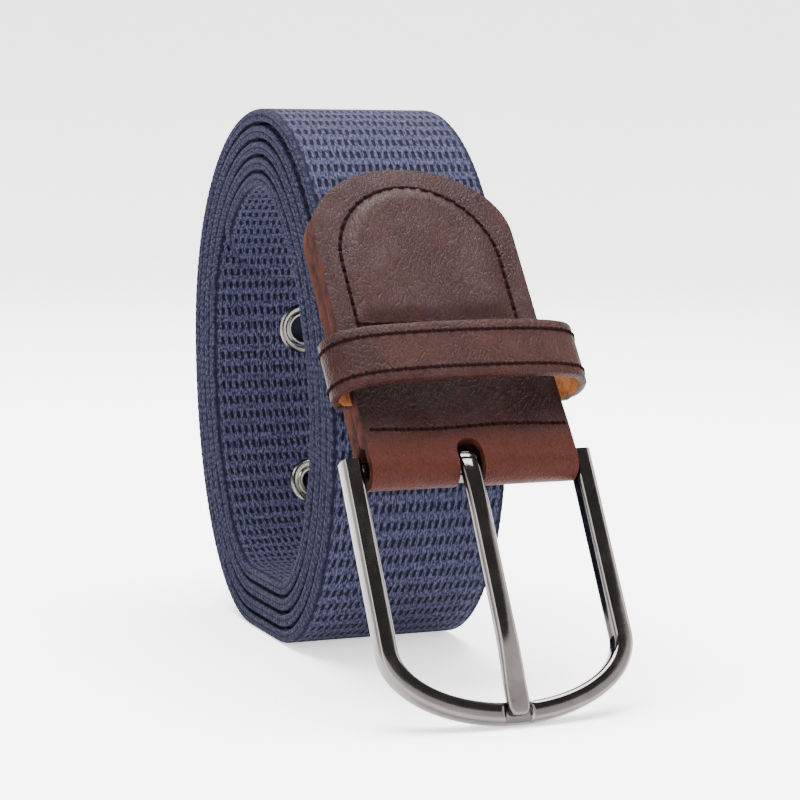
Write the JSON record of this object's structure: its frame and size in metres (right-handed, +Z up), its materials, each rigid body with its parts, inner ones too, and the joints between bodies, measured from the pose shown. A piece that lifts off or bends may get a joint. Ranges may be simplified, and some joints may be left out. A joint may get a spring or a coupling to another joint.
{
  "type": "fabric belt",
  "caption": "Rolled-up webbing belt with a folded leather tab, a leather keeper loop, a single-tongue metal frame buckle and metal eyelets in its tail",
  "frame": {"origin": "middle of the flat stretch of the roll's outer turn that rests on the surface", "axes": "+Z up, X across the belt's width, -Y towards the buckle, which hangs in front of the roll and rests on the same surface"},
  "size_m": [0.0524, 0.1366, 0.1103],
  "materials": {
    "navy_webbing": "thick woven webbing, matte",
    "brown_leather": "smooth, satin",
    "gunmetal": "polished dark plating",
    "eyelet_nickel": "polished nickel plating"
  },
  "bodies": {
    "strap": {"webbing_strap": "navy_webbing", "leather_tab_front": "brown_leather", "leather_tab_back": "brown_leather", "leather_fold_left": "brown_leather", "leather_fold_right": "brown_leather", "keeper_loop": "brown_leather", "eyelet_1": "eyelet_nickel", "eyelet_2": "eyelet_nickel", "eyelet_3": "eyelet_nickel", "eyelet_4": "eyelet_nickel", "eyelet_5": "eyelet_nickel"},
    "frame": {"buckle_frame": "gunmetal"},
    "tongue": {"buckle_tongue": "gunmetal"}
  },
  "joints": [
    {"name": "frame_swing", "type": "hinge", "parent": "strap", "child": "frame", "pos_m": [-0.0003, -0.06175, 0.04406], "axis": [-1, 0, 0], "range_deg": [0, 45]},
    {"name": "tongue_swing", "type": "hinge", "parent": "frame", "child": "tongue", "pos_m": [-0.0012, -0.06175, 0.04406], "axis": [-1, 0, 0], "range_deg": [0, 50]}
  ]
}
